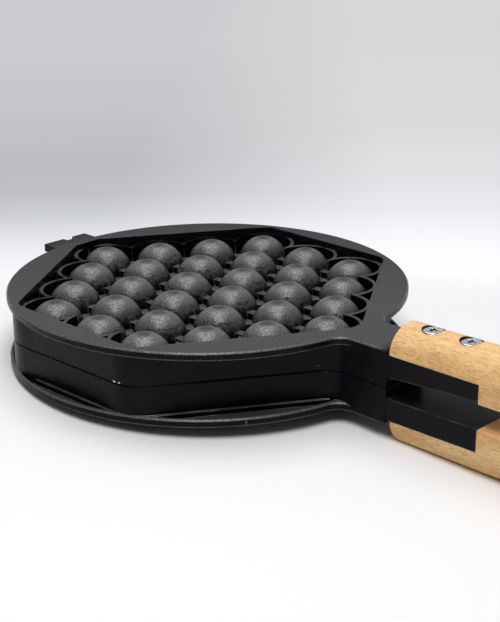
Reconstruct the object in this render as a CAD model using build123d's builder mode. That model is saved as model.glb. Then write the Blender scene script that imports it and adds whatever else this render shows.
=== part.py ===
from build123d import *

import os
from math import acos, atan2, cos, degrees, hypot, sin

# Egg waffle pan: two cast halves that fold together on a hinge, each with a half round
# wooden grip screwed to its tang. Millimetres. The pan lies closed on its lower rim:
# +X runs along the handles, away from the hinge, +Z is up, and the origin is the
# centre of the round rim, on the face that it stands on.

# ---- the disc ----
rim_radius = 100.0
half_height = 18.0           # parting face to outer face of one casting
flange_thickness = 4.0
rim_edge = 0.8               # chamfer of the rim's edges
rim_lip = 1.9                # rim left standing round the blind pockets in the flange
wall_shelf = 1.2             # flange left standing along the wall
flange_pocket_depth = 2.4
seam_bevel = 0.4             # where the two walls meet

# ---- the cups, in rows that run along the handles ----
cups_in_rows = (3, 4, 5, 6, 5, 4, 3)
cup_pitch = 31.6             # along a row
row_pitch = 24.0
dome_radius = 13.2
dome_recess = 0.1            # how far the domes stay below the rim's outer face
cup_wall = 2.6
cup_mouth_radius = 12.4
web_recess = 1.75            # half of the thin sheet of batter between the cups
link_width = 4.2
link_height = 3.6

# ---- the walls round the cups ----
pocket_end_margin = 16.1     # outermost rows to the pocket's edge on the outer face
pocket_side_margin = 17.1    # the rows' outermost cups to its slanted edges
pocket_draft = 8.0           # degrees
wall_end_margin = 20.3       # the same two to the outer face of the wall
wall_side_margin = 20.9
web_margin = 13.6            # and to the edge of the land where the castings meet
pocket_corner = 9.0
pocket_axis_corner = 14.0    # the two corners that point at the hinge and the handles
wall_corner = 20.0
wall_hinge_corner = 24.0
ridge_radius = 15.4          # thin ridge that follows the outer cups
ridge_width = 1.7
ridge_height = 9.8

# ---- neck and tang ----
neck_half_width = 13.8
neck_fillet = 9.0            # into the rim
neck_wall_fillet = 12.0      # into the wall under the rim
tang_start = 126.0
tang_end = 175.6
tang_half_width = 13.5
tang_inner = 5.0             # faces of the tang, from the parting face
tang_outer = 15.7
lower_relief = 0.0           # how much thinner each tang gets towards its end
upper_relief = 2.9

# ---- hinge ----
hinge_reach = 9.0            # pin axis beyond the rim
pin_radius = 2.5
pin_clearance = 0.05
knuckle_radius = 5.4
knuckle_pitch = 6.0
knuckle_gap = 0.4
knuckle_count = 4
tab_reach = 7.8              # flat tabs over the knuckles, beyond the rim
tab_from = -19.0
tab_to = 8.6
notch_from = -6.0
notch_to = 0.0
notch_reach = 4.6            # how far the notch between the tabs stays beyond the rim
ear_root = 94.0              # where the ears end inside the rim
pin_head_radius = 4.0
pin_head_height = 1.4
pin_head_gap = 0.3

# ---- grips and screws ----
grip_front_gap = 0.3
grip_end = 276.0
grip_radius = 13.5
lower_grip_drop = 0.0        # arc centre of each grip's top, below the tang's outer face
upper_grip_drop = 1.2
grip_swell = 0.5             # degrees
lower_front_fillet = 4.0
upper_front_fillet = 1.8
grip_rear_fillet = 8.0
grip_edge_fillet = 1.0
grip_tang_gap = 0.4
screw_places = (141.0, 161.5)
screw_radius = 2.5
screw_clearance = 0.3
head_radius = 4.4
head_height = 2.6
head_crown = 0.8             # edge of the domed head
washer_radius = 4.8
washer_thickness = 0.8
counterbore_radius = 5.1
counterbore_depth = 3.7      # from the grip's crown at its front end
screw_tip = 9.2              # from the parting face
screw_hole_end = 8.6
cross_width = 1.2
cross_length = 4.6
cross_depth = 1.4

# ---- worked out ----
rows = len(cups_in_rows)
slant = atan2(cup_pitch / 2, row_pitch)
hinge_x = -(rim_radius + hinge_reach)
dome_centre = half_height - dome_recess - dome_radius
cup_radius = dome_radius - cup_wall

upper_place = Location((0, 0, half_height))
lower_place = Location((0, 0, half_height), (180, 0, 0))


def row_y(row):
    """Distance of a row of cups from the X axis."""
    return (row - (rows - 1) / 2) * row_pitch


def cup_places():
    """Centres of all cups, row by row."""
    return [((i - (count - 1) / 2) * cup_pitch, row_y(row))
            for row, count in enumerate(cups_in_rows) for i in range(count)]


def cup_lines():
    """First and last cup of every straight line of cups, in the three directions."""
    places = cup_places()
    steps = [(cup_pitch, 0), (cup_pitch / 2, row_pitch), (-cup_pitch / 2, row_pitch)]
    lines = []
    for step in steps:
        for first in places:
            if at_cup(first, step, -1):
                continue
            count = 0
            while at_cup(first, step, count + 1):
                count += 1
            lines.append((first, (first[0] + count * step[0], first[1] + count * step[1])))
    return lines


def at_cup(place, step, count):
    """Whether a cup lies the given number of steps from a place."""
    x, y = place[0] + count * step[0], place[1] + count * step[1]
    return any(hypot(x - cx, y - cy) < 1 for cx, cy in cup_places())


def outer_cups():
    """The cups at the ends of the rows and in the outermost rows."""
    last = (rows - 1) / 2
    return [(x, y) for x, y in cup_places()
            if abs(y) > (last - 0.5) * row_pitch or not at_cup((x, y), (cup_pitch, 0), 1)
            or not at_cup((x, y), (cup_pitch, 0), -1)]


def hexagon_corners(end_margin, side_margin):
    """Corners of the hexagon round the cups, by its distance from their centres."""
    half_y = row_y(rows - 1) + end_margin
    side = (max(cups_in_rows) - 1) / 2 * cup_pitch * cos(slant) + side_margin
    corner_x = (side - half_y * sin(slant)) / cos(slant)
    return [(side / cos(slant), 0), (corner_x, half_y), (-corner_x, half_y),
            (-side / cos(slant), 0), (-corner_x, -half_y), (corner_x, -half_y)]


def hexagon(end_margin, side_margin, corner, axis_corner):
    """Sketch of the hexagon with rounded corners, two of which lie on the X axis."""
    with BuildSketch() as outline:
        Polygon(*hexagon_corners(end_margin, side_margin), align=None)
        on_axis = outline.vertices().filter_by(lambda v: abs(v.Y) < 1)
        fillet(outline.vertices() - on_axis, corner)
        fillet(outline.vertices().filter_by(lambda v: abs(v.Y) < 1), axis_corner)
    return outline.sketch


def wall_outline():
    """Sketch of the outer wall, which runs on into the neck."""
    with BuildSketch() as outline:
        Polygon(*hexagon_corners(wall_end_margin, wall_side_margin), align=None)
        hinge_corner = outline.vertices().sort_by(Axis.X)[0]
        fillet(hinge_corner, wall_hinge_corner)
        corners = outline.vertices().filter_by(lambda v: abs(v.Y) > row_pitch)
        fillet(corners, wall_corner)
        neck_sketch()
        roots = outline.vertices().filter_by(in_neck_root)
        fillet(roots, neck_wall_fillet)
    return outline.sketch


def flange_outline():
    """Sketch of the round rim, which runs on into the neck."""
    with BuildSketch() as outline:
        Circle(rim_radius)
        neck_sketch()
        roots = outline.vertices().filter_by(in_neck_root)
        fillet(roots, neck_fillet)
    return outline.sketch


def neck_sketch():
    """Adds the neck to the sketch that is open."""
    Polygon((0, neck_half_width), (tang_start, neck_half_width),
            (tang_start, -neck_half_width), (0, -neck_half_width), align=None)


def in_neck_root(vertex):
    """Whether a corner of an outline is where the neck leaves it."""
    return abs(abs(vertex.Y) - neck_half_width) < 0.01 and 0 < vertex.X < tang_start - 1


def bars(width):
    """Sketch of straight bars that join all neighbouring cups."""
    with BuildSketch() as net:
        for first, last in cup_lines():
            middle = ((first[0] + last[0]) / 2, (first[1] + last[1]) / 2)
            run = (last[0] - first[0], last[1] - first[1])
            turn = degrees(atan2(run[1], run[0]))
            with Locations(Location((*middle, 0), (0, 0, turn))):
                Rectangle(hypot(*run), width)
    return net.sketch


def ridge():
    """Sketch of the scalloped ridge outside the outer cups."""
    with BuildSketch() as line:
        with Locations(*outer_cups()):
            Circle(ridge_radius + ridge_width)
        with Locations(*outer_cups()):
            Circle(ridge_radius, mode=Mode.SUBTRACT)
        Polygon(*hexagon_corners(0, 0), align=None, mode=Mode.SUBTRACT)
    return line.sketch


def casting(relief):
    """One half, outer face up, with its parting face at z = 0."""
    pocket = hexagon(pocket_end_margin, pocket_side_margin, pocket_corner, pocket_axis_corner)
    web = hexagon(web_margin, web_margin, pocket_corner, pocket_axis_corner)
    shelf = hexagon_corners(wall_end_margin + wall_shelf, wall_side_margin + wall_shelf)
    places = cup_places()

    with BuildPart() as half:
        # rim flange with the blind pockets between its lip and the wall
        with BuildSketch(Plane.XY.offset(half_height - flange_thickness)):
            add(flange_outline())
        extrude(amount=flange_thickness)
        chamfer(half.faces().filter_by(Axis.Z).edges(), rim_edge)
        with BuildSketch(Plane.XY.offset(half_height - flange_thickness)):
            Circle(rim_radius - rim_lip)
            Polygon(*shelf, align=None, mode=Mode.SUBTRACT)
        extrude(amount=flange_pocket_depth, mode=Mode.SUBTRACT)

        # wall and neck, and the tang
        with BuildSketch():
            add(wall_outline())
        extrude(amount=half_height - rim_edge)
        chamfer(half.faces().sort_by(Axis.Z)[0].outer_wire().edges(), seam_bevel)
        with BuildSketch(Plane.XZ):
            with BuildLine():
                Polyline((tang_start - 1, tang_inner), (tang_end, tang_inner + relief),
                         (tang_end, tang_outer), (tang_start - 1, tang_outer), close=True)
            make_face()
        extrude(amount=tang_half_width, both=True)

        # pocket in the outer face and the sheet's recess in the parting face
        with BuildSketch(Plane.XY.offset(half_height)):
            add(pocket)
        extrude(amount=-(half_height - dome_centre), taper=pocket_draft, mode=Mode.SUBTRACT)
        with BuildSketch():
            add(web)
        extrude(amount=web_recess, mode=Mode.SUBTRACT)

        # domes with the links and the ridge between them
        with BuildSketch(Plane.XY.offset(dome_centre)):
            add(bars(link_width))
        extrude(amount=link_height)
        with BuildSketch(Plane.XY.offset(dome_centre)):
            add(ridge())
        extrude(amount=ridge_height)
        with BuildPart(mode=Mode.PRIVATE) as dome:
            Sphere(dome_radius, arc_size1=0, align=(Align.CENTER, Align.CENTER, Align.MIN))
        add([Pos(x, y, dome_centre) * dome.part for x, y in places])

        # cups in the parting face
        hollow = cup()
        add([Pos(x, y) * hollow for x, y in places], mode=Mode.SUBTRACT)

        # hinge: flat tabs, ears with their knuckles, and the bore for the pin
        tab_end = -(rim_radius + tab_reach)
        with BuildSketch(Plane.XY.offset(half_height - flange_thickness)):
            for y_from, y_to in ((tab_from, notch_from), (notch_to, tab_to)):
                Polygon((tab_end, y_from), (tab_end, y_to), (-ear_root, y_to),
                        (-ear_root, y_from), align=None)
            Polygon((-(rim_radius + notch_reach), notch_from), (-ear_root, notch_from),
                    (-ear_root, notch_to), (-(rim_radius + notch_reach), notch_to), align=None)
        extrude(amount=flange_thickness)
        for knuckle in range(0, knuckle_count, 2):
            start = (knuckle - knuckle_count / 2) * knuckle_pitch + knuckle_gap / 2
            with BuildSketch(Plane.XZ.offset(-start)):
                add(ear(tab_end))
            extrude(amount=-(knuckle_pitch - knuckle_gap))
        with BuildSketch(Plane.XZ):
            with Locations((hinge_x, 0)):
                Circle(pin_radius + pin_clearance)
        extrude(amount=knuckle_count * knuckle_pitch, both=True, mode=Mode.SUBTRACT)

        # blind holes for the grip's screws
        with BuildSketch(Plane.XY.offset(tang_outer)):
            with Locations(*[(x, 0) for x in screw_places]):
                Circle(screw_radius + pin_clearance)
        extrude(amount=-(tang_outer - screw_hole_end), mode=Mode.SUBTRACT)
    return half.part


def cup():
    """Hollow of one cup: a round bottom that runs straight into a flared mouth."""
    drop = dome_centre - web_recess
    turn = acos(cup_radius / hypot(cup_mouth_radius, drop)) - atan2(drop, cup_mouth_radius)
    bottom = (cup_radius * cos(turn), dome_centre + cup_radius * sin(turn))
    with BuildPart() as hollow:
        with BuildSketch(Plane.XZ):
            with BuildLine():
                Polyline((0, dome_centre + cup_radius), (0, web_recess),
                         (cup_mouth_radius, web_recess), bottom)
                RadiusArc(bottom, (0, dome_centre + cup_radius), -cup_radius)
            make_face()
        revolve(axis=Axis.Z)
    return hollow.part


def ear(tab_end):
    """Profile of one hinge ear: the knuckle, drawn up to the tab and into the rim."""
    with BuildSketch() as profile:
        with Locations((hinge_x, 0)):
            Circle(knuckle_radius)
        Polygon((tab_end, half_height), (-ear_root, half_height), (-ear_root, 0), (hinge_x, 0),
                align=None)
        make_hull()
        with Locations((hinge_x, 0)):
            Rectangle(rim_radius, 2 * knuckle_radius, align=(Align.MIN, Align.MAX),
                      mode=Mode.SUBTRACT)
            Circle(knuckle_radius)
    return profile.sketch


def grip(mating, drop, front_fillet):
    """Half round grip, crown up; behind the tang it is as deep as its mating face."""
    front_x = tang_start + grip_front_gap
    seat = washer_seat(drop)
    with BuildPart() as wood:
        with BuildSketch(Plane.YZ.offset(front_x)):
            with Locations((0, tang_outer - drop)):
                Circle(grip_radius)
                Rectangle(2 * grip_radius, tang_outer, align=(Align.CENTER, Align.MAX))
        extrude(amount=grip_end - front_x, taper=-grip_swell)
        split(bisect_by=Plane.XY.offset(mating))
        with BuildSketch(Plane.XZ):
            with Locations((front_x, tang_outer)):
                Rectangle(tang_end + grip_tang_gap - front_x, tang_outer,
                          align=(Align.MIN, Align.MAX))
        extrude(amount=2 * grip_radius, both=True, mode=Mode.SUBTRACT)

        fillet(wood.edges().filter_by(GeomType.CIRCLE).sort_by(Axis.X)[0], front_fillet)
        end_face = wood.faces().sort_by(Axis.X)[-1]
        fillet(end_face.edges().sort_by(Axis.Z)[1:], grip_rear_fillet)
        rim = wood.faces().filter_by(Axis.Z).sort_by(Axis.Z)[0].edges()
        fillet(rim.sort_by(Axis.X)[1:], grip_edge_fillet)

        with BuildSketch(Plane.XY.offset(seat)):
            with Locations(*[(x, 0) for x in screw_places]):
                Circle(counterbore_radius)
        extrude(amount=2 * counterbore_depth, mode=Mode.SUBTRACT)
        with BuildSketch(Plane.XY.offset(seat)):
            with Locations(*[(x, 0) for x in screw_places]):
                Circle(screw_radius + screw_clearance)
        extrude(amount=-seat, mode=Mode.SUBTRACT)
    return wood.part


def washer_seat(drop):
    """Height of the counterbore's floor in a grip whose arc lies lower by the drop."""
    return tang_outer + grip_radius - drop - counterbore_depth


def washer(x, drop):
    """Flat washer on the counterbore's floor."""
    with BuildPart() as ring:
        with BuildSketch(Plane.XY.offset(washer_seat(drop))):
            with Locations((x, 0)):
                Circle(washer_radius)
                Circle(screw_radius + screw_clearance, mode=Mode.SUBTRACT)
        extrude(amount=washer_thickness)
    return ring.part


def screw(x, drop):
    """Cross head screw with a low domed head."""
    under_head = washer_seat(drop) + washer_thickness
    head_top = under_head + head_height
    with BuildPart() as metal:
        with BuildSketch(Plane.XZ):
            with BuildLine():
                Polyline((0, head_top), (0, screw_tip), (screw_radius, screw_tip),
                         (screw_radius, under_head), (head_radius, under_head),
                         (head_radius, head_top - head_crown))
                ThreePointArc((head_radius, head_top - head_crown),
                              (head_radius / 2, head_top - head_crown / 4), (0, head_top))
            make_face()
        revolve(axis=Axis.Z)
        with BuildSketch(Plane.XY.offset(head_top)):
            Rectangle(cross_length, cross_width)
            Rectangle(cross_width, cross_length)
        extrude(amount=-cross_depth, mode=Mode.SUBTRACT)
    return Pos(x, 0) * metal.part


with BuildPart() as hinge_pin:
    half_length = knuckle_count / 2 * knuckle_pitch + pin_head_gap
    with BuildSketch(Plane.XZ.offset(-half_length)):
        with Locations((hinge_x, half_height)):
            Circle(pin_radius)
    extrude(amount=2 * half_length)
    for head_plane, height in ((-half_length, -pin_head_height), (half_length, pin_head_height)):
        with BuildSketch(Plane.XZ.offset(head_plane)):
            with Locations((hinge_x, half_height)):
                Circle(pin_head_radius)
        extrude(amount=height)
    outer_ends = hinge_pin.faces().filter_by(Axis.Y).sort_by(Axis.Y)
    chamfer((outer_ends[0].edges(), outer_ends[-1].edges()), pin_head_height / 2)

pieces = {"hinge_pin": hinge_pin.part}
for half, place, relief, drop, front_fillet in (
        ("lower", lower_place, lower_relief, lower_grip_drop, lower_front_fillet),
        ("upper", upper_place, upper_relief, upper_grip_drop, upper_front_fillet)):
    pieces[half + "_plate"] = place * casting(relief)
    pieces[half + "_grip"] = place * grip(tang_inner + relief / 2, drop, front_fillet)
    for spot, x in zip(("front", "rear"), screw_places):
        pieces[half + "_" + spot + "_washer"] = place * washer(x, drop)
        pieces[half + "_" + spot + "_screw"] = place * screw(x, drop)

os.makedirs("parts", exist_ok=True)
for name, piece in pieces.items():
    piece.label = name
    export_step(piece, "parts/" + name + ".step")
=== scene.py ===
import math

import bmesh
import bpy
from mathutils import Matrix, Vector


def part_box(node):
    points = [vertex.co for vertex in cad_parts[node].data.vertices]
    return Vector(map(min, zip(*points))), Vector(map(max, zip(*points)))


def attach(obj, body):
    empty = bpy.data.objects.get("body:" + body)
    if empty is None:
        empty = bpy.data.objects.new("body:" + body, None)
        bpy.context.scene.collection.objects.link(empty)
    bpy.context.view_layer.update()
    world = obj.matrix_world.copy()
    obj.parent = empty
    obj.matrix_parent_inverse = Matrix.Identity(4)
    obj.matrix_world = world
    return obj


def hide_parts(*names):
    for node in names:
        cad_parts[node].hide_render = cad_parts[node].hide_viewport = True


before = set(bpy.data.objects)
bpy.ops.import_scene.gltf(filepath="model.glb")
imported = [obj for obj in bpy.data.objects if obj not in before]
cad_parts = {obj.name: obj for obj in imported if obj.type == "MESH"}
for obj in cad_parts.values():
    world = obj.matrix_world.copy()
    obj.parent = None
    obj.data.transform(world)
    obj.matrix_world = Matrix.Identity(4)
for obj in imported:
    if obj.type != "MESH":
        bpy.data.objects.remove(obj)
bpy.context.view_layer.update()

# Egg waffle pan, closed, set down on its rim and on the round side of the lower grip.
# Metres. +X runs along the grips, away from the hinge.

# ---- the photograph's camera ----
IMAGE_WIDTH, IMAGE_HEIGHT = 500, 622
CAMERA_PLACE = (0.49447, -0.47442, 0.26925)
CAMERA_RIGHT = (0.74033, 0.67223, 0.00446)
CAMERA_DOWN = (0.23132, -0.24851, -0.94060)
CAMERA_FORWARD = (-0.63120, 0.69738, -0.33948)
FOCAL_PIXELS = 1438.3
CENTRE_PIXEL = (305.1, 305.4)
SENSOR_WIDTH = 36.0

camera_data = bpy.data.cameras.new("camera")
camera_data.sensor_fit = "HORIZONTAL"
camera_data.sensor_width = SENSOR_WIDTH
camera_data.lens = FOCAL_PIXELS / IMAGE_WIDTH * SENSOR_WIDTH
camera_data.shift_x = (IMAGE_WIDTH / 2 - CENTRE_PIXEL[0]) / IMAGE_WIDTH
camera_data.shift_y = (CENTRE_PIXEL[1] - IMAGE_HEIGHT / 2) / IMAGE_WIDTH
camera = bpy.data.objects.new("camera", camera_data)
camera_up = [-value for value in CAMERA_DOWN]
camera_back = [-value for value in CAMERA_FORWARD]
camera.matrix_world = Matrix((CAMERA_RIGHT, camera_up, camera_back)).transposed().to_4x4()
camera.location = CAMERA_PLACE
bpy.context.scene.collection.objects.link(camera)
bpy.context.scene.camera = camera

# level directions as the camera sees them
BACK_DIRECTION = (-0.671, 0.741, 0.0)
SIDE_DIRECTION = (0.741, 0.671, 0.0)


# ---- node helpers ----
class Nodes:
    """Short calls for building one node tree."""

    def __init__(self, owner):
        owner.use_nodes = True
        self.tree = owner.node_tree
        self.tree.nodes.clear()

    def node(self, kind, inputs=None, **settings):
        node = self.tree.nodes.new(kind)
        for key, value in settings.items():
            setattr(node, key, value)
        for key, value in (inputs or {}).items():
            if isinstance(value, bpy.types.NodeSocket):
                self.tree.links.new(value, node.inputs[key])
            else:
                node.inputs[key].default_value = value
        return node

    def ramp(self, factor, stops):
        node = self.node("ShaderNodeValToRGB", {"Fac": factor})
        elements = node.color_ramp.elements
        while len(elements) < len(stops):
            elements.new(0.5)
        for element, (place, color) in zip(elements, stops):
            element.position = place
            element.color = (*color, 1)
        return node.outputs["Color"]

    def mix(self, factor, first, second):
        first, second = (value if isinstance(value, bpy.types.NodeSocket) else (*value, 1)
                         for value in (first, second))
        node = self.node("ShaderNodeMix", {0: factor, 6: first, 7: second}, data_type="RGBA")
        return node.outputs[2]

    def calc(self, operation, first, second=0.0):
        return self.node("ShaderNodeMath", {0: first, 1: second}, operation=operation).outputs[0]

    def product(self, first, *others):
        for other in others:
            first = self.calc("MULTIPLY", first, other)
        return first

    def without(self, mask):
        return self.calc("SUBTRACT", 1.0, mask)

    def apart(self, first, second):
        """How far apart two numbers are."""
        return self.calc("ABSOLUTE", self.calc("SUBTRACT", first, second))

    def span(self, value, low, high, to_low=0.0, to_high=1.0):
        node = self.node("ShaderNodeMapRange", {"Value": value, "From Min": low,
                                                "From Max": high, "To Min": to_low,
                                                "To Max": to_high}, clamp=True)
        return node.outputs["Result"]

    def vector(self, operation, *values):
        """Result of a vector operation that gives a vector."""
        node = self.node("ShaderNodeVectorMath", dict(enumerate(values)), operation=operation)
        return node.outputs["Vector"]

    def measure(self, operation, *values):
        """Result of a vector operation that gives a number."""
        node = self.node("ShaderNodeVectorMath", dict(enumerate(values)), operation=operation)
        return node.outputs["Value"]

    def split(self, vector):
        return self.node("ShaderNodeSeparateXYZ", {0: vector}).outputs

    def noise(self, vector, scale, detail, rough):
        return self.node("ShaderNodeTexNoise", {"Vector": vector, "Scale": scale,
                                                "Detail": detail, "Roughness": rough}).outputs["Fac"]

    def place(self, scale=(1, 1, 1)):
        """Object coordinates, stretched."""
        source = self.node("ShaderNodeTexCoord").outputs["Object"]
        return self.node("ShaderNodeMapping", {"Vector": source, "Scale": scale}).outputs["Vector"]

    def soft_normal(self, radius, samples):
        """Normal with the edges rounded."""
        return self.node("ShaderNodeBevel", {"Radius": radius}, samples=samples).outputs["Normal"]

    def bump(self, strength, distance, height, normal):
        return self.node("ShaderNodeBump", {"Strength": strength, "Distance": distance,
                                            "Height": height, "Normal": normal}).outputs["Normal"]

    def surface(self, shader):
        self.node("ShaderNodeOutputMaterial", {"Surface": shader.outputs[0]})


# ---- the coating of the castings ----
COATING_DARK = (0.0018, 0.0019, 0.0036)
COATING_PALE = (0.0045, 0.0047, 0.0072)
COATING_WORN_AND_HIGHLIT = (0.12, 0.12, 0.125)
COATING_SPECULAR = 0.10
RESIDUE_AND_LIGHT_GREY = (0.11, 0.11, 0.107)
FLECK_AND_SHEEN_METAL = (0.42, 0.42, 0.435)
BARE_METAL = (0.56, 0.46, 0.34)
# places where the coating is chipped or scratched: centre, reach of the patch, strength
CHIPS = (((0.0338, -0.0923, 0.0188), (0.0010, 0.0020, 0.0005), 1.0),
         ((0.0366, -0.0922, 0.0188), (0.0007, 0.0020, 0.0005), 0.9),
         ((0.0912, -0.0199, 0.0206), (0.0006, 0.0010, 0.0005), 0.12),
         ((0.0819, -0.0574, 0.0012), (0.0003, 0.0009, 0.0022), 0.22))

# landmarks of the castings
PARTING_HEIGHT = 0.018
NECK_END = 0.126
HINGE_X = -0.109
SLANT = (0.835, 0.550)                     # across the pan's slanted sides
CRACK_HEIGHT = 0.0123                      # from the parting face

# noises: scale, detail, roughness
GRAINS = (1250.0, 2.0, 0.55)
FINE = (3600.0, 2.0, 0.5)
BLOTCHES = (95.0, 4.0, 0.55)
LUMPS = (430.0, 3.0, 0.6)
WANDER = (300.0, 3.0, 0.6)
PITS_SCALE = 620.0

# Spans: the measure where a mask starts and where it ends, then what it is at these, 0 and 1
# where nothing is said.
# heights from the parting face
RIDGE_FOOT, RIDGE_TOP = (0.0125, 0.0130), (0.0156, 0.0150)
OFF_SEAM = (0.0008, 0.0014)
RIM_FACE = (0.01785, 0.01795)
OFF_MOUTHS = (0.0040, 0.0046)
RESIDUE_AND_LIGHT_EDGE = (0.0122, 0.0112)
CRACK_REACH = (0.00045, 0.00020)           # from the crack's own height
# heights above the lower rim
# low on the flange the edges get more wear and more painted edge highlight
FLANGE_WEAR_AND_HIGHLIGHT = (0.006, 0.011, 1.2, 1.0)
OUTER_SIDE = (PARTING_HEIGHT - 0.0001, PARTING_HEIGHT + 0.0001, -1.0, 1.0)
# places along and across the pan
OFF_NECK_END = (0.0012, 0.0020)
# the neck's end and the tangs past it lose their glint: painted shade in the slot between the tangs
TANG_SHADE = (0.119, 0.126, 1.0, 0.1)
HINGE_DULL = (-0.106, -0.096, 0.25, 1.0)
FAR_RIM_DULL = (-0.04, 0.10, 0.0, 0.55)
ARMS_FROM, ARMS_TO = (0.069, 0.071), (0.0805, 0.0785)
FAR_ARMS, NEAR_ARMS = (0.009, 0.015), (-0.002, -0.006)
# how much a face looks up or down: 1 is level
BLASTED_AND_SHEEN_FACE = (0.38, 0.84)
OUTER_FACE = (0.15, 0.55)
RIDGE_TOP_FACE = (0.93, 0.97)
LEVEL_FACE = (0.94, 0.99)
# strength of the noises
PALE_PATCHES = (0.35, 0.7)
RUBBED_AND_HIGHLIT_PATCHES = (0.38, 0.62, 0.25, 1.0)
CRACK_PATCHES = (0.51, 0.57, 0.0, 0.75)
RESIDUE_AND_LIGHT_PATCHES = (0.44, 0.62, 0.05, 0.8)
CONTOUR_SHIFT = (0.25, 0.75, -0.0018, 0.0018)
COARSE_GLINT = (0.30, 0.72, 0.22, 0.60)
EVEN_GLINT = (0.25, 0.75, 0.08, 0.22)
GRAIN_ROUGHNESS = (0.3, 0.7, 0.25, 0.32)
PIT_DEPTH = (0.0, 0.45)
RAGGED = (0.3, 0.7, -0.4, 0.4)             # of a chip's outline
CHIP_EDGE = (1.0, 0.8)                     # in reaches from a chip's centre

# edges: radius of the rounding, turn of the normal that counts as an edge
EDGE_RADIUS, EDGE_SAMPLES = 0.0008, 8
EDGE_TURN = (0.03, 0.20)
RUBBED_AND_HIGHLIT_TINT, RUBBED_AND_HIGHLIT_GLINT = 0.5, 0.42
LEVEL_ROUGHNESS, RIDGE_SMOOTHNESS = 0.10, 0.25
LEVEL_GRAIN_HEIGHT = 0.35

# bumps: strength, distance
GRAIN_BUMP = (0.55, 0.0003)
PIT_BUMP = (0.12, 0.0004)
FINE_BUMP = (0.20, 0.0001)
BLOTCH_BUMP = (0.25, 0.0012)
RELIEF_BUMP = (0.5, 0.0006)


def shaded_ridge(n, where, from_parting):
    """Mask of the arms of the ridge round the outer cups that lie in the walls' shade, where glint
    and edge shine are taken away as painted shade.
    """
    ridge = n.product(n.span(from_parting, *RIDGE_FOOT), n.span(from_parting, *RIDGE_TOP))
    x_part = n.calc("MULTIPLY", where["X"], -SLANT[0])
    y_part = n.calc("MULTIPLY", where["Y"], SLANT[1])
    far_side = n.product(n.span(n.calc("ADD", x_part, y_part), *ARMS_FROM),
                         n.span(where["Y"], *FAR_ARMS))
    outward = n.calc("SUBTRACT", x_part, y_part)
    near_side = n.product(n.span(outward, *ARMS_TO), n.span(outward, *ARMS_FROM),
                          n.span(where["Y"], *NEAR_ARMS))
    return n.product(ridge, n.calc("MAXIMUM", far_side, near_side))


def chipped(n, place, fine):
    """Mask of the chips, with ragged outlines."""
    bare = 0.0
    for centre, reach, strength in CHIPS:
        far = n.measure("LENGTH", n.vector("DIVIDE", n.vector("SUBTRACT", place, centre), reach))
        ragged = n.calc("ADD", far, n.span(fine, *RAGGED))
        bare = n.calc("MAXIMUM", bare, n.span(ragged, *CHIP_EDGE, 0.0, strength))
    return bare


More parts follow.
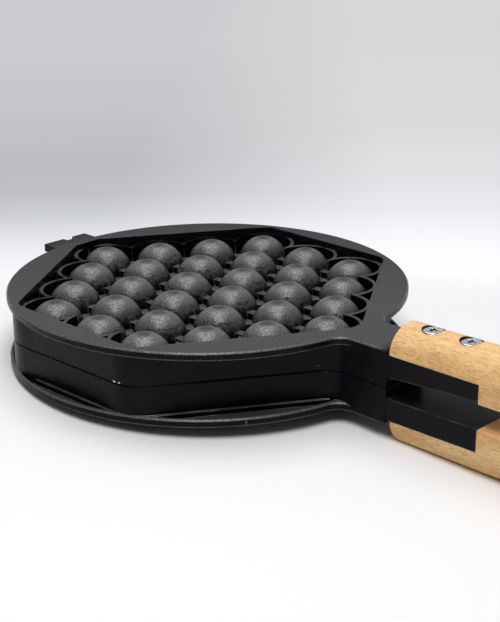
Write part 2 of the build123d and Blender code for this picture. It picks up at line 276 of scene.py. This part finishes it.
def casting_material():
    material = bpy.data.materials.new("dark_coating")
    n = Nodes(material)
    place = n.place()
    grains = n.noise(place, *GRAINS)
    fine = n.noise(place, *FINE)
    blotches = n.noise(place, *BLOTCHES)
    lumps = n.noise(place, *LUMPS)
    wander = n.noise(place, *WANDER)
    pits = n.node("ShaderNodeTexVoronoi", {"Vector": place, "Scale": PITS_SCALE}
                  ).outputs["Distance"]

    where = n.split(place)
    from_parting = n.apart(where["Z"], PARTING_HEIGHT)
    soft_normal = n.soft_normal(EDGE_RADIUS, EDGE_SAMPLES)
    flat_normal = n.node("ShaderNodeNewGeometry").outputs["Normal"]
    # in the casting's own frame, so that the halves keep their looks when the pan is opened
    own_z = n.split(n.node("ShaderNodeTexCoord").outputs["Normal"])["Z"]
    level = n.calc("ABSOLUTE", own_z)
    level_face = n.span(level, *LEVEL_FACE)

    # the ridge's arms in the walls' shade lose their glint and edge shine: painted shade
    ridge_shade = shaded_ridge(n, where, from_parting)
    ridge_top_shade = n.product(ridge_shade, n.span(level, *RIDGE_TOP_FACE))

    # edges where the coating has worn thin, with painted highlights along the same rounded edges,
    # most on the lower flange; the seam and the end of the neck get neither
    alike = n.measure("DOT_PRODUCT", soft_normal, flat_normal)
    off_seam = n.span(from_parting, *OFF_SEAM)
    off_neck_end = n.span(n.apart(where["X"], NECK_END), *OFF_NECK_END)
    rubbed_and_highlit = n.product(n.span(n.without(alike), *EDGE_TURN), n.span(blotches, *RUBBED_AND_HIGHLIT_PATCHES),
                       n.product(off_seam, off_neck_end), n.without(ridge_shade),
                       n.span(where["Z"], *FLANGE_WEAR_AND_HIGHLIGHT))

    base = n.mix(n.span(blotches, *PALE_PATCHES), COATING_DARK, COATING_PALE)
    base = n.mix(n.product(rubbed_and_highlit, RUBBED_AND_HIGHLIT_TINT), base, COATING_WORN_AND_HIGHLIT)

    # faces that look up or down get grains of metal glinting through a shot-blast finish, which is
    # also painted sheen that makes these lit faces brighter than the sides; painted shade takes the
    # glint off the neck's end, the tangs past it and the ridge's shaded arms, and there is less
    # at the hinge, on the far side of the rim and along the seam
    behind = n.calc("SUBTRACT", n.calc("MULTIPLY", where["Y"], BACK_DIRECTION[1]),
                    n.calc("MULTIPLY", where["X"], -BACK_DIRECTION[0]))
    far_rim = n.product(n.span(from_parting, *RIM_FACE), n.span(behind, *FAR_RIM_DULL))
    blasted_and_sheen = n.product(n.span(level, *BLASTED_AND_SHEEN_FACE), n.span(where["X"], *TANG_SHADE), off_seam,
                        n.span(where["X"], *HINGE_DULL), n.without(far_rim),
                        n.without(ridge_top_shade))

    # pale, cracked residue low on the domes and between them, on the outer side only; its pale
    # grey is also painted light that lifts the shade between the domes
    outer = n.span(n.product(n.span(where["Z"], *OUTER_SIDE), own_z), *OUTER_FACE)
    contour = n.calc("ADD", from_parting, n.span(wander, *CONTOUR_SHIFT))
    residue_and_light = n.product(n.span(contour, *RESIDUE_AND_LIGHT_EDGE), n.span(lumps, *RESIDUE_AND_LIGHT_PATCHES),
                        n.product(outer, n.span(from_parting, *OFF_MOUTHS)))
    crack = n.product(n.span(n.apart(contour, CRACK_HEIGHT), *CRACK_REACH), outer,
                      n.span(blotches, *CRACK_PATCHES))
    base = n.mix(residue_and_light, base, RESIDUE_AND_LIGHT_GREY)

    glint = n.mix(level_face, n.span(grains, *COARSE_GLINT), n.span(grains, *EVEN_GLINT))
    glint = n.product(glint, blasted_and_sheen, n.without(n.calc("MAXIMUM", residue_and_light, crack)))
    glint = n.calc("MAXIMUM", glint, n.product(rubbed_and_highlit, RUBBED_AND_HIGHLIT_GLINT))
    # the glint's metal: real grains, painted sheen on the lit faces and painted edge highlights
    base = n.mix(glint, base, FLECK_AND_SHEEN_METAL)
    bare = chipped(n, place, fine)
    base = n.mix(bare, base, BARE_METAL)
    roughness = n.calc("ADD", n.span(grains, *GRAIN_ROUGHNESS),
                       n.product(level_face, LEVEL_ROUGHNESS))
    roughness = n.calc("SUBTRACT", roughness, n.product(ridge_top_shade, RIDGE_SMOOTHNESS))

    grain_height = n.product(grains, n.span(level, *LEVEL_FACE, 1.0, LEVEL_GRAIN_HEIGHT))
    relief = n.calc("SUBTRACT", n.product(lumps, residue_and_light), crack)
    normal = n.mix(ridge_top_shade, soft_normal, flat_normal)
    for (strength, distance), height in ((GRAIN_BUMP, grain_height),
                                         (PIT_BUMP, n.span(pits, *PIT_DEPTH)),
                                         (FINE_BUMP, fine), (BLOTCH_BUMP, blotches),
                                         (RELIEF_BUMP, relief)):
        normal = n.bump(strength, distance, height, normal)
    n.surface(n.node("ShaderNodeBsdfPrincipled",
                     {"Base Color": base, "Roughness": roughness, "Normal": normal,
                      "Metallic": n.calc("MAXIMUM", glint, bare),
                      "Specular IOR Level": COATING_SPECULAR}))
    return material


# ---- oiled beech ----
# stretch along the grain, then noise: scale, detail, roughness
BANDS_STRETCH, BANDS = (1.0, 6.0, 6.0), (30.0, 3.0, 0.5)
STREAKS_STRETCH, STREAKS = (0.20, 1.0, 1.0), (1350.0, 2.0, 0.55)
FLECKS_STRETCH, FLECKS = (0.24, 1.0, 1.0), (2300.0, 1.0, 0.4)
FIBRES_STRETCH, FIBRES = (0.05, 1.0, 1.0), (3200.0, 2.0, 0.6)
WAVES_SCALE, WAVES_DETAIL, WAVES_REACH = 70.0, 1.0, 0.004
BAND_TONES = ((0.30, (0.78, 0.455, 0.175)), (0.52, (0.92, 0.590, 0.265)),
              (0.72, (0.97, 0.700, 0.360)))
# strength of the noises, as a span, and colour
DARK_STREAKS = (0.50, 0.72, 0.0, 0.60), (0.48, 0.225, 0.070)
PALE_STREAKS = (0.46, 0.30, 0.0, 0.35), (0.96, 0.68, 0.35)
DARK_FLECKS = (0.60, 0.70, 0.0, 0.55), (0.42, 0.19, 0.055)
PALE_FIBRES = (0.35, 0.65, 0.0, 0.12), (0.94, 0.67, 0.37)
FIBRE_ROUGHNESS = (0.3, 0.7, 0.42, 0.58)
FIBRE_BUMP = (0.25, 0.0002)
BEECH_EDGE_RADIUS, SMALL_EDGE_SAMPLES = 0.0005, 6
BEECH_SPECULAR = 0.3
# the walls of the screws' counterbores are darkened: painted shade
SCREW_PLACES = (0.1410, 0.1615)
COUNTERBORE_SHADE_EDGE = (0.00545, 0.00515)           # distance from a screw's axis
COUNTERBORE_SHADE = (0.045, 0.032, 0.018)


def near_screws(n):
    """Distance from the axis of the nearest screw."""
    flat = n.split(n.place())
    flat = n.node("ShaderNodeCombineXYZ", {"X": flat["X"], "Y": flat["Y"]}).outputs[0]
    near = 1.0
    for screw_x in SCREW_PLACES:
        near = n.calc("MINIMUM", near, n.measure("DISTANCE", flat, (screw_x, 0, 0)))
    return near


def beech_material():
    material = bpy.data.materials.new("beech")
    n = Nodes(material)
    bands = n.noise(n.place(BANDS_STRETCH), *BANDS)
    waves = n.node("ShaderNodeTexNoise", {"Vector": n.place(), "Scale": WAVES_SCALE,
                                          "Detail": WAVES_DETAIL}).outputs["Color"]
    shift = n.node("ShaderNodeVectorMath", {0: waves, "Scale": WAVES_REACH},
                   operation="SCALE").outputs["Vector"]
    wavy = n.vector("ADD", n.place(), shift)
    streak_place = n.node("ShaderNodeMapping", {"Vector": wavy, "Scale": STREAKS_STRETCH})
    streaks = n.noise(streak_place.outputs["Vector"], *STREAKS)
    flecks = n.noise(n.place(FLECKS_STRETCH), *FLECKS)
    fibres = n.noise(n.place(FIBRES_STRETCH), *FIBRES)

    base = n.ramp(bands, BAND_TONES)
    for noise, (strength, color) in ((streaks, DARK_STREAKS), (streaks, PALE_STREAKS),
                                     (flecks, DARK_FLECKS), (fibres, PALE_FIBRES)):
        base = n.mix(n.span(noise, *strength), base, color)
    # painted shade on the walls of the counterbores
    base = n.mix(n.span(near_screws(n), *COUNTERBORE_SHADE_EDGE), base, COUNTERBORE_SHADE)
    normal = n.bump(*FIBRE_BUMP, fibres, n.soft_normal(BEECH_EDGE_RADIUS, SMALL_EDGE_SAMPLES))
    n.surface(n.node("ShaderNodeBsdfPrincipled",
                     {"Base Color": base, "Roughness": n.span(fibres, *FIBRE_ROUGHNESS),
                      "Normal": normal, "Specular IOR Level": BEECH_SPECULAR}))
    return material


# ---- bright plated and drawn steel ----
MARKS = (900.0, 3.0, 0.6)
MARKS_LOW, MARKS_HIGH = 0.3, 0.7
TARNISH = (0.45, 0.75, 0.0, 0.3)
TARNISH_TONE = 0.7
MARKS_BUMP = (0.08, 0.0001)
METAL_EDGE_RADIUS = 0.00025


def metal_material(name, color, low_rough, high_rough, stretch=(1, 1, 1)):
    material = bpy.data.materials.new(name)
    n = Nodes(material)
    marks = n.noise(n.place(stretch), *MARKS)
    tone = n.mix(n.span(marks, *TARNISH), color, tuple(TARNISH_TONE * part for part in color))
    normal = n.bump(*MARKS_BUMP, marks, n.soft_normal(METAL_EDGE_RADIUS, SMALL_EDGE_SAMPLES))
    n.surface(n.node("ShaderNodeBsdfPrincipled",
                     {"Base Color": tone, "Metallic": 1.0, "Normal": normal,
                      "Roughness": n.span(marks, MARKS_LOW, MARKS_HIGH, low_rough, high_rough)}))
    return material


coating = casting_material()
beech = beech_material()
plated = metal_material("bright_plate", (0.95, 0.95, 0.96), 0.08, 0.16)
# dark metal for the faces deep in the screws' cross recesses: painted shade
recess = metal_material("recess_shade", (0.06, 0.06, 0.065), 0.35, 0.5)
drawn = metal_material("drawn_steel", (0.48, 0.48, 0.50), 0.25, 0.42, (1, 0.1, 1))

for name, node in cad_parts.items():
    if name.endswith("_plate"):
        material = coating
    elif name.endswith("_grip"):
        material = beech
    elif name == "hinge_pin":
        material = drawn
    else:
        material = plated
    node.data.materials.clear()
    node.data.materials.append(material)


# ---- screws: polished heads that fill their counterbores ----
HEAD_RADIUS = 0.00485
HEAD_EDGE = 0.0005                         # rounding of the head's edge
HEAD_THICKNESS = 0.0028
HEAD_LIFT = 0.0002                         # above the plain screw's head
CROWN = 0.00045                            # how much the head bulges
SHANK_RADIUS = 0.0025
CROSS_HALF_WIDTH, CROSS_HALF_LENGTH = 0.00062, 0.0026
CROSS_DEPTH = 0.0016
CROSS_WALL, CROSS_END = 0.00022, 0.0011    # run of the recess's walls and of its sloping ends
RECESS_SHARE, RECESS_REACH = 0.25, 0.0024  # how deep a face lies that has the recess's shade
HEAD_TURNS, HEAD_RINGS, EDGE_RINGS = 144, 40, 6
SHARP_ANGLE = math.radians(40)


def cross_sink(x, y):
    """How deep the cross recess is at a point of the head."""
    depth = 0.0
    for along, beside in ((abs(x), abs(y)), (abs(y), abs(x))):
        wall = min(1.0, max(0.0, (CROSS_HALF_WIDTH - beside) / CROSS_WALL + 0.5))
        end = min(1.0, max(0.0, (CROSS_HALF_LENGTH - along) / CROSS_END))
        depth = max(depth, CROSS_DEPTH * wall * end)
    return depth


def head_profile():
    """Radius and drop of each ring of the head, from its middle to its edge."""
    rings = []
    for i in range(1, HEAD_RINGS + 1):
        radius = (HEAD_RADIUS - HEAD_EDGE) * i / HEAD_RINGS
        rings.append((radius, -CROWN * (radius / HEAD_RADIUS) ** 2))
    shoulder = rings[-1][1]
    for i in range(1, EDGE_RINGS + 1):
        turn = math.radians(90 * i / EDGE_RINGS)
        rings.append((HEAD_RADIUS - HEAD_EDGE + HEAD_EDGE * math.sin(turn),
                      shoulder - HEAD_EDGE * (1 - math.cos(turn))))
    return rings


def screw_piece(name, node_name, side):
    """Cross head screw in place of a plain one; side is 1 for the upper half."""
    low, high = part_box(node_name)
    middle_x, middle_y = (low[0] + high[0]) / 2, (low[1] + high[1]) / 2
    crown_z = high[2] + HEAD_LIFT if side > 0 else low[2] - HEAD_LIFT
    tip_z = low[2] if side > 0 else high[2]
    seat_z = crown_z - side * HEAD_THICKNESS
    mesh = bmesh.new()

    def ring(radius, height_at):
        points = []
        for j in range(HEAD_TURNS):
            angle = 2 * math.pi * j / HEAD_TURNS
            x, y = radius * math.cos(angle), radius * math.sin(angle)
            points.append(mesh.verts.new((middle_x + x, middle_y + y, height_at(x, y))))
        return points

    centre = mesh.verts.new((middle_x, middle_y, crown_z - side * cross_sink(0, 0)))
    rows = [ring(radius, lambda x, y, drop=drop: crown_z + side * (drop - cross_sink(x, y)))
            for radius, drop in head_profile()]
    for radius, z in ((HEAD_RADIUS, seat_z), (SHANK_RADIUS, seat_z), (SHANK_RADIUS, tip_z)):
        rows.append(ring(radius, lambda x, y, z=z: z))
    for j in range(HEAD_TURNS):
        k = (j + 1) % HEAD_TURNS
        mesh.faces.new((centre, rows[0][j], rows[0][k]))
        for inner, outer in zip(rows, rows[1:]):
            mesh.faces.new((inner[j], outer[j], outer[k], inner[k]))
    mesh.faces.new(rows[-1])
    bmesh.ops.recalc_face_normals(mesh, faces=mesh.faces)
    data = bpy.data.meshes.new(name)
    mesh.to_mesh(data)
    mesh.free()
    data.polygons.foreach_set("use_smooth", [True] * len(data.polygons))
    data.set_sharp_from_angle(angle=SHARP_ANGLE)
    piece = bpy.data.objects.new(name, data)
    bpy.context.scene.collection.objects.link(piece)
    data.materials.append(plated)
    data.materials.append(recess)
    # faces deep in the cross recess get the dark metal as painted shade
    for face in data.polygons:
        sink = cross_sink(face.center.x - middle_x, face.center.y - middle_y)
        if sink > RECESS_SHARE * CROSS_DEPTH and abs(face.center.z - crown_z) < RECESS_REACH:
            face.material_index = 1
    return piece


for half_name, side in (("upper", 1), ("lower", -1)):
    for spot in ("front", "rear"):
        node_name = half_name + "_" + spot + "_screw"
        head = screw_piece(node_name + "_polished", node_name, side)
        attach(head, half_name + "_half")
        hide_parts(node_name)


# ---- floor: it touches the rim's hinge side and the lower grip's round side, and falls away
# alike beyond the hinge, where the opened half comes to lie ----
FLOOR_HALF = 4.0
FLOOR_STATIONS = 81
FLOOR_GAP = 0.0002                         # below the rim
RIDGE_ROUNDING = 0.015                     # where the floor turns down on both sides
GRIP_END_ROUNDING = 0.009
grip_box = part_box("lower_grip")
touch_x = grip_box[1][0] - GRIP_END_ROUNDING
touch_run = math.hypot(touch_x - HINGE_X, RIDGE_ROUNDING) - RIDGE_ROUNDING
slope = (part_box("lower_plate")[0][2] - grip_box[0][2]) / touch_run
floor_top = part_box("lower_plate")[0][2] - FLOOR_GAP
corners = []
for i in range(FLOOR_STATIONS):
    # the cube of an even spread, so that the stations lie close together at the hinge
    run = FLOOR_HALF * (2 * i / (FLOOR_STATIONS - 1) - 1) ** 3
    fall = slope * (math.hypot(run, RIDGE_ROUNDING) - RIDGE_ROUNDING)
    corners += [(HINGE_X + run, y, floor_top - fall) for y in (-FLOOR_HALF, FLOOR_HALF)]
floor_mesh = bpy.data.meshes.new("floor")
floor_mesh.from_pydata(corners, [], [(2 * i, 2 * i + 2, 2 * i + 3, 2 * i + 1)
                                     for i in range(FLOOR_STATIONS - 1)])
floor_mesh.polygons.foreach_set("use_smooth", [True] * len(floor_mesh.polygons))
floor = bpy.data.objects.new("floor", floor_mesh)
bpy.context.scene.collection.objects.link(floor)

# Paper that is white in front. Behind the pan it glows in greys, lighter towards the grips,
# and far from the pan it glows white, so that the lamps' reach does not show.
PAPER_LIT, PAPER_SEEN = (0.80, 0.80, 0.81), (0.95, 0.955, 0.965)
PLAIN_GLOW = (0.94, 0.945, 0.955)
GREY_RUN = (0.10, 1.10)                    # how far behind the pan's middle the greys run
HINGE_SIDE_GREYS = ((0.0, (1.0, 1.0, 1.0)), (0.05, (0.885, 0.895, 0.93)),
                    (0.10, (0.77, 0.785, 0.82)), (0.15, (0.625, 0.64, 0.665)),
                    (0.21, (0.53, 0.54, 0.56)), (0.29, (0.50, 0.505, 0.53)),
                    (0.50, (0.55, 0.555, 0.58)), (0.95, (0.61, 0.61, 0.64)))
GRIP_SIDE_GREYS = ((0.0, (1.0, 1.0, 1.0)), (0.07, (0.98, 0.985, 1.0)),
                   (0.10, (0.93, 0.94, 0.97)), (0.16, (0.83, 0.835, 0.87)),
                   (0.23, (0.765, 0.77, 0.79)), (0.31, (0.74, 0.745, 0.76)),
                   (0.42, (0.70, 0.705, 0.71)), (0.95, (0.68, 0.68, 0.67)))
HINGE_TO_GRIP = (-0.09, 0.11)              # to the side of the pan's middle
GLOW_BEHIND = (0.08, 0.13)
GLOW_AWAY = (0.38, 0.80)                   # from the middle of the whole part
PART_MIDDLE = (0.08, 0, 0)


def paper_material():
    material = bpy.data.materials.new("floor_paper")
    n = Nodes(material)
    position = n.node("ShaderNodeNewGeometry").outputs["Position"]
    behind = n.measure("DOT_PRODUCT", position, BACK_DIRECTION)
    aside = n.measure("DOT_PRODUCT", position, SIDE_DIRECTION)
    depth = n.span(behind, *GREY_RUN)
    greys = n.mix(n.span(aside, *HINGE_TO_GRIP), n.ramp(depth, HINGE_SIDE_GREYS),
                  n.ramp(depth, GRIP_SIDE_GREYS))
    is_behind = n.span(behind, *GLOW_BEHIND)
    glow = n.node("ShaderNodeEmission", {"Color": n.mix(is_behind, PLAIN_GLOW, greys),
                                         "Strength": 1.0})

    # only what is seen glows, straight or in the castings; it lights nothing
    rays = n.node("ShaderNodeLightPath").outputs
    seen = n.calc("ADD", n.calc("ADD", rays["Is Camera Ray"], rays["Is Glossy Ray"]),
                  rays["Is Transmission Ray"])
    sheet = n.node("ShaderNodeBsdfDiffuse", {"Color": n.mix(seen, PAPER_LIT, PAPER_SEEN)})
    away = n.measure("DISTANCE", position, PART_MIDDLE)
    glows = n.product(n.calc("MAXIMUM", is_behind, n.span(away, *GLOW_AWAY)), seen)
    n.surface(n.node("ShaderNodeMixShader", {0: glows, 1: sheet.outputs[0], 2: glow.outputs[0]}))
    material.cycles.emission_sampling = "NONE"
    return material


floor_mesh.materials.append(paper_material())

# ---- light ----
ROOM_GREYS = ((0.0, (0.08, 0.08, 0.085)), (0.5, (0.17, 0.17, 0.18)), (1.0, (0.47, 0.48, 0.50)))
ROOM_SEEN = (0.80, 0.80, 0.81)

world = bpy.data.worlds.new("studio")
bpy.context.scene.world = world
n = Nodes(world)
direction = n.node("ShaderNodeTexCoord").outputs["Generated"]
towards_back = n.measure("DOT_PRODUCT", direction, BACK_DIRECTION)
room = n.ramp(n.span(towards_back, -1.0, 1.0), ROOM_GREYS)
is_camera_ray = n.node("ShaderNodeLightPath").outputs["Is Camera Ray"]
sky = n.node("ShaderNodeBackground", {"Color": n.mix(is_camera_ray, room, ROOM_SEEN),
                                      "Strength": 1.0})
n.node("ShaderNodeOutputWorld", {"Surface": sky.outputs[0]})


def area_lamp(name, place, target, size, power):
    data = bpy.data.lights.new(name, "AREA")
    data.shape = "RECTANGLE"
    data.size, data.size_y = size, size
    data.energy = power
    lamp = bpy.data.objects.new(name, data)
    lamp.location = place
    aim = Vector(target) - Vector(place)
    lamp.rotation_euler = aim.to_track_quat("-Z", "Y").to_euler()
    bpy.context.scene.collection.objects.link(lamp)


area_lamp("top_light", (-0.14, 0.12, 0.95), (0.03, 0.0, 0.0), 0.85, 4.8)
area_lamp("front_light", (0.31, -0.34, 0.86), (0.0, 0.0, 0.02), 0.45, 4.6)

scene = bpy.context.scene
scene.view_settings.view_transform = "Standard"
